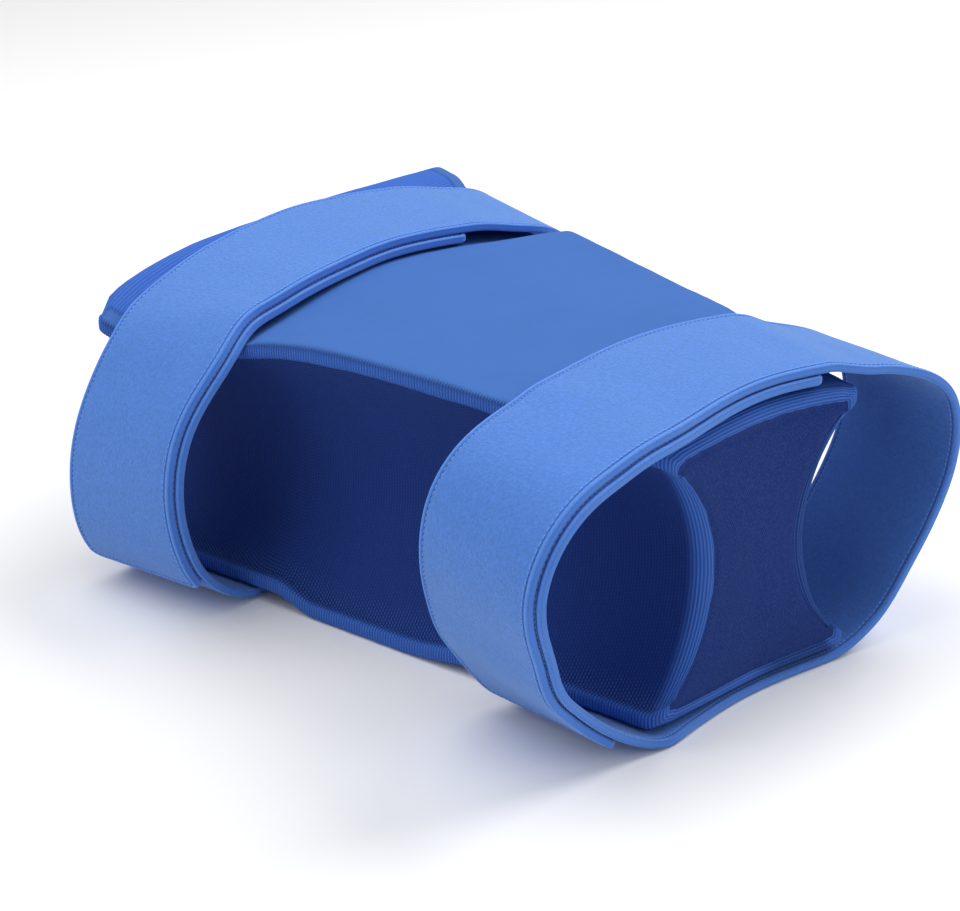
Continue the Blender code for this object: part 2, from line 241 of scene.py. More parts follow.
# The fine patterns of the cloth, from one line to the next
BEAD_PITCH = 0.0024
TWILL_PITCH = 0.0016
TWILL_SLANT = 0.55
KNIT_PITCH = 0.0011

# A turn of a band is cut into this many steps, and each step is softened by its neighbours
TABLE_STEPS = 240
SOFTENING = (1, 2, 4, 6, 7, 6, 4, 2, 1)

# The cut of a band's cloth: its wall's rounding, the seam groove just outside the stitches, the
# pull of the seam, the cloth's ripples and how near its edge they end, the hem's place and spread
# in shares of the stitch inset, and the distance from one ring of points to the next
WALL_ROUND = 0.0020
SEAM_OFFSET = 0.0009
SEAM_GROOVE = 0.00065
SEAM_GROOVE_SPREAD = 0.0008
SEAM_PULL = 0.00020
SEAM_PULL_SPREAD = 0.0030
BAND_RIPPLES = ((0.00035, 35.0), (0.00012, 120.0))
RIPPLES_END = 0.004
HEM_MIDDLE = 0.42
HEM_SPREAD = 0.3
RING_STEP = 0.003

# Where the cloth is cut across: from its edge at the wall, from the stitches, and in its middle
WALL_CUTS = (0.0, 0.00012, 0.0004, 0.0009, 0.0015, 0.0022)
SEAM_CUTS = (-0.0021, -0.0016, -0.0012, -0.0009, -0.0006, -0.0002, 0.0003, 0.0010, 0.0020)
INNER_CUTS = (0.0035, 0.0060)
MIDDLE_CUTS = 14

# One stitch: place along it, thickness and rise over the cloth, in shares of length and thread
STITCH_PROFILE = ((0.0, 0.35, -0.5), (0.25, 1.0, 0.8), (0.75, 1.0, 0.8), (1.0, 0.35, -0.5))
STITCH_ENDS = (0.10, 0.90)
THREAD_SIDES = 5
CORNER_STEPS = 6


def clamp(value):
    return min(1.0, max(0.0, value))


def smooth(value):
    value = clamp(value)
    return value * value * (3 - 2 * value)


def hump(value, middle, spread):
    """A soft hump of height one."""
    away = (value - middle) / spread
    return math.exp(-away * away)


def half_width(x):
    """Half the width of the wedge between its lips."""
    return NARROW_WIDTH / 2 + (NARROW_END - x) * SIDE_SLOPE


def bow(y):
    """A line square to both slanted sides runs this much further towards the narrow end."""
    return SIDE_SLOPE * (math.hypot(y, BOW_SOFTNESS) - BOW_SOFTNESS)


def beyond_band(band, x, y):
    """How far a point of the wedge lies outside a band's edge, below zero under the band."""
    middle = band["centre"] + band["askew"] * y + bow(y)
    return abs(x - middle) - BAND_WIDTH / 2


def top_height(x, y):
    """Height of the wedge's top, crowned in the middle and pressed down along its edges."""
    share = y / half_width(x)
    if y < 0:
        bend = abs(share) ** NEAR_BEND
        drop = NEAR_DROOP * hump(x, NEAR_DROOP_CENTRE, NEAR_DROOP_SPREAD)
        drop *= 1 - FLANGE_RISE * smooth((FLANGE_EDGE - x) / FLANGE_RISE_RUN)
        drop += NEAR_CORNER_DROOP * smooth((x - NEAR_CORNER_START) / NEAR_CORNER_RUN)
    else:
        bend = share * share
        drop = 0.0
        for band in BANDS.values():
            beyond = beyond_band(band, x, y) + FAR_DROOP_INSIDE
            drop += band["far_droop"] * smooth(1 - beyond / FAR_DROOP_SLOPE)
        if x > BANDS["thigh_strap"]["centre"]:
            beyond = beyond_band(BANDS["thigh_strap"], x, y)
            drop -= FAR_CORNER_RISE * smooth((beyond - FAR_CORNER_START) / FAR_CORNER_RUN)
    return PILLOW_HEIGHT + CROWN * (1 - share * share) - drop * bend


def groove_depth(x, y):
    """How deep the bands press into the wedge's underside."""
    share = clamp(abs(y) / half_width(x))
    full = FLOOR_GAP + BAND_THICKNESS + BAND_CLEARANCE + LIP_CLEARANCE * share ** 4
    slope = GROOVE_SLOPE
    if y < 0:
        near_run = THIGH_NEAR_RUN if x > BETWEEN_BANDS else CALF_NEAR_RUN
        slope += near_run * smooth((share - NEAR_RUN_START) / NEAR_RUN_BLEND)
    depth = 0.0
    for band in BANDS.values():
        beyond = beyond_band(band, x, y) - GROOVE_MARGIN
        depth = max(depth, full * smooth(1 - beyond / slope))
    return depth


def wedge_point(station, y, z):
    """A point of the wedge, with the bow, skew and bulge of its sections put on."""
    straighter = smooth(station / NARROW_END)
    bowed = WIDE_END_BOW + (NARROW_END_BOW - WIDE_END_BOW) * straighter
    skew = WIDE_END_SKEW * smooth(station / WIDE_END)
    corner = max(0.0, y) / half_width(station)
    reach = FAR_CORNER_REACH * straighter * corner * corner
    near_share = clamp(-y / half_width(station))
    bulge = FLANGE_BULGE * smooth((FLANGE_START - station) / FLANGE_BULGE_RUN)
    bulge *= smooth(near_share / 0.5) * (1 - near_share ** 10)
    return Vector((station + bow(y) * bowed - skew * y + reach - bulge, y, z))


def rounded(turn):
    """A point of a nose that is squarer than a circle."""
    power = 2 / NOSE_SQUARENESS
    across = math.copysign(abs(math.cos(turn)) ** power, math.cos(turn))
    up = math.copysign(abs(math.sin(turn)) ** power, math.sin(turn))
    return across, up


def lip_and_hollow(station, side, inset):
    """Side of a section from its bottom to its top: lower lip, hollow for the leg, upper lip."""
    out = half_width(station) - inset
    lip_y = side * half_width(station)
    lip_x = wedge_point(station, lip_y, 0).x
    top = top_height(lip_x, lip_y) - inset
    bottom = groove_depth(lip_x, lip_y) + inset
    nose = LIP_THICKNESS / 2 * (1 - LIP_THINNING * inset / END_ROUND)
    lower = []
    upper = []
    for step in range(NOSE_STEPS):
        across, up = rounded(math.radians(-90 + 180 * step / NOSE_STEPS))
        lower.append((out - nose + nose * across, bottom + nose + nose * up))
        upper.append((out - nose + nose * across, top - nose - nose * up))
    low = bottom + 2 * nose
    high = top - 2 * nose
    sag = HOLLOW_DEPTH - nose
    radius = ((high - low) ** 2 / 4 + sag ** 2) / (2 * sag)
    half_turn = math.asin((high - low) / 2 / radius)
    hollow = []
    for step in range(HOLLOW_STEPS + 1):
        turn = half_turn * (2 * step / HOLLOW_STEPS - 1)
        depth = radius * math.cos(turn) - radius + sag
        hollow.append((out - nose - depth, (low + high) / 2 + radius * math.sin(turn)))
    return lower + hollow + upper[::-1]


def cover_stations():
    """Place, inset, length along the cover and distance to the end panel of each section."""
    arc = END_ROUND * math.pi / 2
    turn_steps = round(arc / STATION_STEP)
    straight = PILLOW_LENGTH - 2 * END_ROUND
    straight_steps = round(straight / STATION_STEP)
    stations = []
    for step in range(turn_steps + 1):
        turn = math.pi / 2 * (1 - step / turn_steps)
        place = WIDE_END + END_ROUND * (1 - math.sin(turn))
        stations.append((place, END_ROUND * (1 - math.cos(turn)), -END_ROUND * turn, turn))
    for step in range(1, straight_steps):
        run = straight * step / straight_steps
        stations.append((WIDE_END + END_ROUND + run, 0.0, run, 0.0))
    for step in range(turn_steps + 1):
        turn = math.pi / 2 * step / turn_steps
        place = NARROW_END - END_ROUND * (1 - math.sin(turn))
        inset = END_ROUND * (1 - math.cos(turn))
        stations.append((place, inset, straight + END_ROUND * turn, turn))
    return stations


def cover_lines(station, inset):
    """Near side, far side, bottom and top of one section of the cover, as lists of points."""
    near = lip_and_hollow(station, NEAR, inset)
    far = lip_and_hollow(station, FAR, inset)
    bottom = []
    top = []
    for column in range(1, TOP_COLUMNS):
        share = column / TOP_COLUMNS
        y = -near[0][0] * (1 - share) + far[0][0] * share
        x = wedge_point(station, y, 0).x
        bottom.append(wedge_point(station, y, groove_depth(x, y) + inset))
        y = -near[-1][0] * (1 - share) + far[-1][0] * share
        x = wedge_point(station, y, 0).x
        top.append(wedge_point(station, y, top_height(x, y) - inset))
    near_line = [wedge_point(station, -out, up) for out, up in near]
    far_line = [wedge_point(station, out, up) for out, up in far]
    return near_line, far_line, bottom, top


def join_rings(shape, place_map, rings):
    """Quads between neighbouring closed rings, with the cloth's flat pattern as their map.

    A ring is its vertices, their places round it (the first one again at the end), and its place
    along the cloth.
    """
    for (first, round_a, along_a), (second, round_b, along_b) in zip(rings, rings[1:]):
        for index in range(len(first)):
            after = (index + 1) % len(first)
            face = shape.faces.new((first[index], first[after], second[after], second[index]))
            places = (
                (along_a, round_a[index]), (along_a, round_a[index + 1]),
                (along_b, round_b[index + 1]), (along_b, round_b[index]),
            )
            for loop, place in zip(face.loops, places):
                loop[place_map].uv = place


def ripple(point, ripples):
    """A small uneven height at a point."""
    return sum(height * noise.noise(point * fineness) for height, fineness in ripples)


def finished_mesh(shape, name):
    """The shape as a smooth mesh."""
    mesh = bpy.data.meshes.new(name)
    shape.to_mesh(mesh)
    shape.free()
    mesh.shade_smooth()
    return mesh


def cover_vertex(shape, point, values):
    """A vertex of the cover, with a value for each of the cover's layers."""
    made = shape.verts.new(point)
    for name, value in zip(COVER_LAYERS, values):
        made[shape.verts.layers.float[name]] = value
    return made


def cloth_at(kind, row):
    """How strongly a point of a section is ribbed, and its shares of top cloth and lip cloth."""
    if kind == "top":
        return 0.05, 1.0, 0.0
    if kind == "bottom":
        return 0.3, 0.0, 0.0
    from_top = SIDE_POINTS - 1 - row
    from_edge = min(from_top, row)
    ribs = max(0.3, 1 - max(0, from_edge - NOSE_STEPS) / 3) * smooth(from_top / 3)
    return ribs, clamp(1 - from_top / 5), 1 - smooth((from_edge - 6) / 3)


def cover_ring(shape, station, inset, length, turn):
    """One closed section of the cover: its vertices, the lengths round it and its place along."""
    near, far, bottom, top = cover_lines(station, inset)
    points = [near[0]] + bottom + far + top[::-1] + near[:0:-1]
    kinds = [("side", 0)] + [("bottom", 0)] * len(bottom)
    kinds += [("side", row) for row in range(SIDE_POINTS)] + [("top", 0)] * len(top)
    kinds += [("side", row) for row in range(SIDE_POINTS - 1, 0, -1)]
    around = [0.0]
    for first, second in zip(points, points[1:] + points[:1]):
        around.append(around[-1] + (second - first).length)
    wave = math.cos(2 * math.pi * length / RIB_PITCH)
    inside = -END_ROUND * (math.pi / 2 - turn)
    ring = []
    for point, (kind, row) in zip(points, kinds):
        ribs, top_cloth, lip_cloth = cloth_at(kind, row)
        flange = smooth((FLANGE_START - point.x) / FLANGE_BLEND) if kind == "top" else 0.0
        # Painted shade: low on the far side the end roll takes the darker side colour
        roll_shade = smooth(point.y / DARK_ROLL_BLEND)
        roll_shade *= smooth((DARK_ROLL_BELOW - point.z) / DARK_ROLL_BLEND)
        ribs = max(ribs, smooth(turn / ROLL_RIBS_RUN), FLANGE_RIBS * flange)
        roll_lip = smooth(turn / ROLL_LIP_RUN) * (1 - DARK_ROLL_SHARE * roll_shade)
        lip_cloth = max(lip_cloth, roll_lip, flange)
        top_cloth *= 1 - max(smooth((turn - TOP_CLOTH_END) / TOP_CLOTH_BLEND), flange)
        ring.append(cover_vertex(shape, point, (ribs, top_cloth, inside, wave, lip_cloth)))
    return ring, around, length


def add_end_panel(shape, place_map, station, inset):
    """A grid across one end. Its border lies on the end's ring, and the weld joins them."""
    near, far, bottom, top = cover_lines(station, inset)
    panel_layer = shape.faces.layers.float["panel"]
    grid = []
    for column in range(TOP_COLUMNS + 1):
        share = column / TOP_COLUMNS
        low = near[0].z * (1 - share) + far[0].z * share
        high = near[-1].z * (1 - share) + far[-1].z * share
        line = []
        for row, (start, end) in enumerate(zip(near, far)):
            y = start.y * (1 - share) + end.y * share
            z = start.z * (1 - share) + end.z * share
            if 0 < column < TOP_COLUMNS and row == 0:
                z = bottom[column - 1].z
            if 0 < column < TOP_COLUMNS and row == SIDE_POINTS - 1:
                z = top[column - 1].z
            inside = max(0.0, min(y - start.y, end.y - y, z - low, high - z))
            point = wedge_point(station, y, z)
            line.append(cover_vertex(shape, point, (1.0, 0.0, inside, -1.0, 0.0)))
        grid.append(line)
    for left, right in zip(grid, grid[1:]):
        for row in range(SIDE_POINTS - 1):
            face = shape.faces.new((left[row], right[row], right[row + 1], left[row + 1]))
            face[panel_layer] = 1.0
            for loop in face.loops:
                loop[place_map].uv = (loop.vert.co.y, loop.vert.co.z)


def add_relief(shape):
    """Press the cover in under the bands, and raise its ribs, ripples and end panels."""
    ribs, _, inside, wave, _ = (shape.verts.layers.float[name] for name in COVER_LAYERS)
    moves = []
    for point in shape.verts:
        x, y, z = point.co
        press = 0.0
        if z > TOP_ABOVE and point.normal.z > TOP_FACING:
            beyond = min(beyond_band(band, x, y) for band in BANDS.values()) + UNDER_BAND_START
            press = BESIDE_BAND - UNDER_BAND * smooth(1 - beyond / UNDER_BAND_RUN)
            press *= point.normal.z
        uneven = ripple(point.co, COVER_RIPPLES)
        crease = -PANEL_CREASE * hump(point[inside], 0.0, PANEL_CREASE_SPREAD)
        rib = RIB_HEIGHT * point[wave] * point[ribs]
        if point[inside] > 0:
            rib = 0.0
            crease += PANEL_SWELL * smooth(point[inside] / PANEL_SWELL_RUN)
        if z < UNDERSIDE_BELOW and point.normal.z < UNDERSIDE_FACING:
            uneven = 0.0
            rib = 0.0
        moves.append(point.normal * (press + uneven + crease + rib))
    for point, move in zip(shape.verts, moves):
        point.co += move
        point.co.z = max(0.0, point.co.z)


def cover_mesh():
    """The cover as a fine closed mesh, mapped by the lengths along it and round it."""
    shape = bmesh.new()
    for name in COVER_LAYERS:
        shape.verts.layers.float.new(name)
    shape.faces.layers.float.new("panel")
    place_map = shape.loops.layers.uv.new("cloth_map")
    stations = cover_stations()
    join_rings(shape, place_map, [cover_ring(shape, *values) for values in stations])
    for station, inset, _, _ in (stations[0], stations[-1]):
        add_end_panel(shape, place_map, station, inset)
    bmesh.ops.remove_doubles(shape, verts=shape.verts, dist=WELD)
    bmesh.ops.recalc_face_normals(shape, faces=shape.faces)
    shape.normal_update()
    add_relief(shape)
    return finished_mesh(shape, "wedge_cover")


def side_point(side, along, out, up):
    """A point beside the wedge, measured along and square to its slanted side."""
    x = along * math.cos(SIDE_ANGLE) + out * math.sin(SIDE_ANGLE)
    y = side * (out * math.cos(SIDE_ANGLE) - along * math.sin(SIDE_ANGLE))
    return Vector((x, y, up))


def across_point(band, share, edge, under):
    """A point of a band's edge on top of the wedge or underneath it."""
    x = band["centre"] + edge * BAND_WIDTH / 2
    y = share * half_width(x)
    x += band["askew"] * y + bow(y)
    if under:
        return Vector((x, y, BAND_THICKNESS + FLOOR_GAP))
    gap = BAND_CLEARANCE + LIP_CLEARANCE * abs(share) ** 6
    gap += band["near_arch"] * hump(share, NEAR_ARCH_MIDDLE, NEAR_ARCH_SPREAD)
    return Vector((x, y, top_height(x, y) + gap))


def loop_rows(name, side):
    """Both edges of a band round one leg space, from the top edge down."""
    along = BANDS[name]["near_along" if side == NEAR else "far_along"]
    rows = []
    for values in LOOPS[(name, side)]:
        row = dict(zip(LOOP_COLUMNS, values))
        middle = along + row.get("slide", 0.0)
        wide = side_point(side, middle - BAND_WIDTH / 2, row["wide_out"], row["wide_up"])
        narrow = side_point(side, middle + BAND_WIDTH / 2, row["narrow_out"], row["narrow_up"])
        rows.append((wide, narrow))
    return rows


def band_rows(name):
    """Both edges of one full turn: over the top, round the near loop, under, round the far one."""
    band = BANDS[name]
    over = [[across_point(band, share, edge, False) for edge in (-1, 1)] for share in ACROSS_ROWS]
    under = [[across_point(band, share, edge, True) for edge in (-1, 1)] for share in ACROSS_ROWS]
    return over + loop_rows(name, NEAR) + under[::-1] + loop_rows(name, FAR)[::-1]


def turn_lengths(rows):
    """Length along the middle of the band to each row, and once round."""
    middles = [(wide + narrow) / 2 for wide, narrow in rows]
    lengths = [0.0]
    for first, second in zip(middles, middles[1:] + middles[:1]):
        lengths.append(lengths[-1] + (second - first).length)
    return lengths


def point_on_turn(rows, lengths, edge, place):
    """A smooth closed curve through one edge of the rows, read at a length along the band."""
    count = len(rows)
    place = place % lengths[-1]
    index = max(i for i in range(count) if lengths[i] <= place)

    def knot(step):
        turns, slot = divmod(index + step, count)
        return rows[slot][edge], lengths[slot] + turns * lengths[-1]

    (p0, t0), (p1, t1), (p2, t2), (p3, t3) = (knot(step) for step in (-1, 0, 1, 2))
    slope_1 = (p2 - p0) / (t2 - t0)
    slope_2 = (p3 - p1) / (t3 - t1)
    span = t2 - t1
    f = (place - t1) / span
    return (
        p1 * (2 * f ** 3 - 3 * f ** 2 + 1)
        + slope_1 * span * (f ** 3 - 2 * f ** 2 + f)
        + p2 * (3 * f ** 2 - 2 * f ** 3)
        + slope_2 * span * (f ** 3 - f ** 2)
    )


def length_at(lengths, row):
    """Length along the band to a row, which may be part of the way to the next one."""
    whole = int(row)
    return lengths[whole] + (row - whole) * (lengths[whole + 1] - lengths[whole])


class BandPath:
    """Where one wound band runs, and how its cloth lies there."""

    def __init__(self, name):
        band = BANDS[name]
        self.band = band
        self.rows = band_rows(name)
        self.lengths = turn_lengths(self.rows)
        self.round_once = self.lengths[-1]
        start_share = band["inner_end"] / half_width(band["centre"])
        above = max(i for i, share in enumerate(ACROSS_ROWS) if share > start_share)
        row_gap = ACROSS_ROWS[above] - ACROSS_ROWS[above + 1]
        self.start = length_at(self.lengths, above + (ACROSS_ROWS[above] - start_share) / row_gap)
        last_row = len(ACROSS_ROWS) - 1 + band["outer_end_row"]
        self.end = length_at(self.lengths, last_row) + self.round_once
        self.step = self.round_once / TABLE_STEPS
        raw = [
            [point_on_turn(self.rows, self.lengths, edge, index * self.step) for edge in (0, 1)]
            for index in range(TABLE_STEPS)
        ]
        total = sum(SOFTENING)
        reach = len(SOFTENING) // 2
        self.table = []
        for index in range(TABLE_STEPS):
            pair = [Vector(), Vector()]
            for shift, weight in enumerate(SOFTENING, -reach):
                near_by = raw[(index + shift) % TABLE_STEPS]
                for edge in (0, 1):
                    pair[edge] += near_by[edge] * (weight / total)
            self.table.append(pair)

    def edge_point(self, edge, place):
        """A point of one edge, on a smooth curve through the softened turn's points."""
        index, share = divmod(place / self.step, 1.0)
        a, b, c, d = (
            self.table[(int(index) + step) % TABLE_STEPS][edge] for step in (-1, 0, 1, 2)
        )
        square = a * 2 - b * 5 + c * 4 - d
        cube = b * 3 - c * 3 + d - a
        return b + (c - a + (square + cube * share) * share) * share / 2

    def frame_at(self, place):
        """Middle of the cloth, and the directions across and out of it."""
        sides = [
            [self.edge_point(edge, place + reach) for edge in (0, 1)]
            for reach in (-TRAVEL_REACH, 0.0, TRAVEL_REACH)
        ]
        wide, narrow = sides[1]
        across = (narrow - wide).normalized()
        travel = (sides[2][0] + sides[2][1] - sides[0][0] - sides[0][1]).normalized()
        outward = travel.cross(across).normalized()
        before_inner_end = self.round_once + self.start - place
        layer = smooth((self.band["climb_start"] - before_inner_end) / self.band["climb_length"])
        run = (place - self.start) / self.round_once
        inner_shift = self.band["inner_shift"]
        loop_shift = self.band["loop_shift"]
        shift = inner_shift + (loop_shift - inner_shift) * smooth(run / SLIDE_OUT_RUN)
        shift *= 1 - smooth((run - SLIDE_BACK_START) / SLIDE_BACK_RUN)
        lift = BAND_THICKNESS / 2 + layer * (BAND_THICKNESS + LAYER_GAP)
        middle = (wide + narrow) / 2 + across * shift + outward * lift
        return middle, across, outward


def edge_distance(aside, tip):
    """How far inside its rounded outline a point of the cloth lies."""
    across = BAND_WIDTH / 2 - abs(aside)
    if across < END_CORNER_RADIUS and tip < END_CORNER_RADIUS:
        corner = math.hypot(END_CORNER_RADIUS - across, END_CORNER_RADIUS - tip)
        return END_CORNER_RADIUS - corner
    return min(across, tip)


def cloth_half_thickness(inside, stitch_inset, hem_puff):
    """Half the cloth's thickness at a distance inside its outline: cut wall, hem and seam."""
    half = BAND_THICKNESS / 2
    if inside < WALL_ROUND:
        half -= WALL_ROUND - math.sqrt(WALL_ROUND ** 2 - (WALL_ROUND - max(0.0, inside)) ** 2)
    half += hem_puff * hump(inside, stitch_inset * HEM_MIDDLE, stitch_inset * HEM_SPREAD)
    half -= SEAM_GROOVE * hump(inside, stitch_inset - SEAM_OFFSET, SEAM_GROOVE_SPREAD)
    half -= SEAM_PULL * hump(inside, stitch_inset, SEAM_PULL_SPREAD)
    return half


def seam_insets(stitch_inset):
    """Distances inside the outline at which the cloth is cut, closest at its wall and seam."""
    return list(WALL_CUTS) + [stitch_inset + cut for cut in SEAM_CUTS]


def band_asides(reach, stitch_inset):
    """Places across the cloth, closest together at its edges and at the stitching."""
    insets = seam_insets(stitch_inset) + [stitch_inset + cut for cut in INNER_CUTS]
    inner = reach - insets[-1]
    middle = [inner * (1 - 2 * step / MIDDLE_CUTS) for step in range(1, MIDDLE_CUTS)]
    half = [reach - inset for inset in insets]
    return half + middle + [-value for value in half[::-1]]


def band_places(start, end, stitch_inset):
    """Lengths at which a band has a ring, closest together at its two cut ends."""
    tips = seam_insets(stitch_inset) + [END_CORNER_RADIUS]
    steps = round((end - start - 2 * tips[-1]) / RING_STEP)
    run = (end - start - 2 * tips[-1]) / steps
    places = [start + tip for tip in tips]
    places += [start + tips[-1] + run * index for index in range(1, steps)]
    return places + [end - tip for tip in tips[::-1]]


def band_mesh(path, name, stitch_inset, hem_puff):
    """The band's cloth as a fine closed mesh, with its flat pattern as its map."""
    shape = bmesh.new()
    inside_layer = shape.verts.layers.float.new("inside_edge")
    place_map = shape.loops.layers.uv.new("cloth_map")
    rings = []
    for place in band_places(path.start, path.end, stitch_inset):
        middle, across, outward = path.frame_at(place)
        tip = min(place - path.start, path.end - place)
        corner = clamp(1 - tip / END_CORNER_RADIUS)
        reach = BAND_WIDTH / 2 - END_CORNER_RADIUS * (1 - math.sqrt(1 - corner * corner))
        asides = band_asides(reach, stitch_inset)
        upper = []
        lower = []
        for aside in asides:
            inside = edge_distance(aside, tip)
            half = cloth_half_thickness(inside, stitch_inset, hem_puff)
            flat = middle + across * aside
            wander = ripple(flat, BAND_RIPPLES) * clamp(inside / RIPPLES_END)
            for side, line in ((1, upper), (-1, lower)):
                made = shape.verts.new(flat + outward * (side * half + wander))
                made[inside_layer] = inside
                line.append(made)
        rings.append((upper + lower[::-1], asides + asides[::-1] + asides[:1], place))
    join_rings(shape, place_map, rings)
    for ring, _, _ in (rings[0], rings[-1]):
        for index in range(len(ring) // 2 - 1):
            shape.faces.new((ring[index], ring[index + 1], ring[-index - 2], ring[-index - 1]))
    bmesh.ops.remove_doubles(shape, verts=shape.verts, dist=BAND_WELD)
    bmesh.ops.dissolve_degenerate(shape, edges=shape.edges, dist=SHORTEST_EDGE)
    bmesh.ops.recalc_face_normals(shape, faces=shape.faces)
    return finished_mesh(shape, name)


def stitch_outline(path, stitch_inset):
    """The closed line of stitching on the flat cloth: place along and aside of many points."""
    reach = BAND_WIDTH / 2 - stitch_inset
    corner = END_CORNER_RADIUS - stitch_inset
    start = path.start + stitch_inset
    end = path.end - stitch_inset
    line = []
    corners = (
        (end - corner, reach - corner, 0), (end - corner, -reach + corner, 90),
        (start + corner, -reach + corner, 180), (start + corner, reach - corner, 270),
    )
    for along, aside, degrees in corners:
        for step in range(CORNER_STEPS + 1):
            turn = math.radians(degrees + 90 * step / CORNER_STEPS)
            line.append((along + corner * math.sin(turn), aside + corner * math.cos(turn)))
    return line + line[:1]


def stitch_mesh(path, name, stitch_inset, stitch_length, thread):
    """Every stitch on both faces of the band, each a short sunk thread."""
    shape = bmesh.new()
    outline = stitch_outline(path, stitch_inset)
    spans = [math.dist(a, b) for a, b in zip(outline, outline[1:])]
    total = sum(spans)
    count = round(total / stitch_length)
    pitch = total / count
    starts = [sum(spans[:index]) for index in range(len(spans))]

    def flat_place(run):
        run = run % total
        index = max(i for i, value in enumerate(starts) if value <= run)
        share = (run - starts[index]) / spans[index]
        first, second = outline[index], outline[index + 1]
        return [first[k] + (second[k] - first[k]) * share for k in (0, 1)]

    depth = cloth_half_thickness(stitch_inset, stitch_inset, 0.0)
    for number in range(count):
        ends = [flat_place((number + share) * pitch) for share in STITCH_ENDS]
        frames = [path.frame_at(place) for place, _ in ends]
        for side in (1, -1):
            heads = [
                middle + across * aside + outward * side * (depth - thread * 0.1)
                for (middle, across, outward), (_, aside) in zip(frames, ends)
            ]
            outward = frames[0][2] * side
            line = heads[1] - heads[0]
            sideways = line.cross(outward).normalized()
            rings = []
            for share, size, rise in STITCH_PROFILE:
                centre = heads[0] + line * share + outward * thread * rise
                reach = thread / 2 * size
                ring = []
                for step in range(THREAD_SIDES):
                    turn = 2 * math.pi * step / THREAD_SIDES
                    offset = sideways * math.cos(turn) * reach + outward * math.sin(turn) * reach
                    ring.append(shape.verts.new(centre + offset))
                rings.append(ring)
            for first, second in zip(rings, rings[1:]):
                for index in range(THREAD_SIDES):
                    after = (index + 1) % THREAD_SIDES
                    shape.faces.new((first[index], first[after], second[after], second[index]))
            shape.faces.new(rings[0][::-1])
            shape.faces.new(rings[-1])
    bmesh.ops.recalc_face_normals(shape, faces=shape.faces)
    return finished_mesh(shape, name)


def add_piece(name, mesh, material):
    """Put a mesh on an object at the origin, and let it ride on the part's one body."""
    piece = bpy.data.objects.new(name, mesh)
    bpy.context.scene.collection.objects.link(piece)
    mesh.materials.clear()
    mesh.materials.append(material)
    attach(piece, "root")
    return piece


class Nodes:
    """A material's node tree, with short ways to add and join its nodes."""

    def __init__(self, name):
        self.material = bpy.data.materials.new(name)
        self.material.use_nodes = True
        self.tree = self.material.node_tree
        self.shader = self.tree.nodes["Principled BSDF"]

    def add(self, kind, **values):
        made = self.tree.nodes.new(kind)
        for key, value in values.items():
            setattr(made, key, value)
        return made

    def join(self, source, target):
        self.tree.links.new(source, target)

    def math(self, operation, first, second=None, third=None, clamped=False):
        made = self.add("ShaderNodeMath", operation=operation, use_clamp=clamped)
        for slot, value in enumerate((first, second, third)):
            if value is None:
                continue
            if isinstance(value, (int, float)):
                made.inputs[slot].default_value = value
            else:
                self.join(value, made.inputs[slot])
        return made.outputs[0]

    def times(self, *values):
        """Two or more values multiplied together."""
        product = values[0]
        for value in values[1:]:
            product = self.math("MULTIPLY", product, value)
        return product

    def line(self, value, slope, start, clamped=False):
        """A value times a slope, plus a start."""
        return self.math("MULTIPLY_ADD", value, slope, start, clamped=clamped)

    def sine(self, value, pitch):
        """A wave from -1 to 1 along a value, once in each pitch."""
        return self.math("SINE", self.times(value, 2 * math.pi / pitch))

    def without(self, value):
        """One less a value."""
        return self.math("SUBTRACT", 1.0, value)

    def ridge(self, value, middle, spread):
        """One where a value is at its middle, falling to nought at a spread to either side."""
        away = self.math("ABSOLUTE", self.math("SUBTRACT", value, middle))
        return self.math("SUBTRACT", 1.0, self.math("DIVIDE", away, spread), clamped=True)

    def attribute(self, name):
        return self.add("ShaderNodeAttribute", attribute_name=name).outputs["Fac"]

    def map_axes(self):
        read = self.add("ShaderNodeUVMap", uv_map="cloth_map")
        split = self.add("ShaderNodeSeparateXYZ")
        self.join(read.outputs["UV"], split.inputs[0])
        return split.outputs[0], split.outputs[1]

    def noise(self, vector, scale, detail=2.0, roughness=0.5):
        made = self.add("ShaderNodeTexNoise")
        made.inputs["Scale"].default_value = scale
        made.inputs["Detail"].default_value = detail
        made.inputs["Roughness"].default_value = roughness
        self.join(vector, made.inputs["Vector"])
        return made.outputs["Fac"]

    def place(self):
        return self.add("ShaderNodeTexCoord").outputs["Object"]

    def mix(self, share, first, second):
        made = self.add("ShaderNodeMix", data_type="RGBA")
        for slot, value in ((6, first), (7, second)):
            if isinstance(value, bpy.types.NodeSocket):
                self.join(value, made.inputs[slot])
            else:
                made.inputs[slot].default_value = (*value[:3], 1.0)
        if isinstance(share, (int, float)):
            made.inputs[0].default_value = share
        else:
            self.join(share, made.inputs[0])
        return made.outputs[2]

    def bump(self, height, distance, strength, under=None):
        made = self.add("ShaderNodeBump")
        made.inputs["Distance"].default_value = distance
        made.inputs["Strength"].default_value = strength
        self.join(height, made.inputs["Height"])
        if under is not None:
            self.join(under, made.inputs["Normal"])
        return made.outputs["Normal"]

    def finish(self, colour, normal, values):
        """Join the colour and the bump, and set the shader's other values."""
        self.join(colour, self.shader.inputs["Base Color"])
        self.join(normal, self.shader.inputs["Normal"])
        for socket, value in values.items():
            self.shader.inputs[socket].default_value = value
        return self.material


def scaled(colour, factor):
    """A colour made lighter or darker."""
    return tuple(channel * factor for channel in colour[:3])


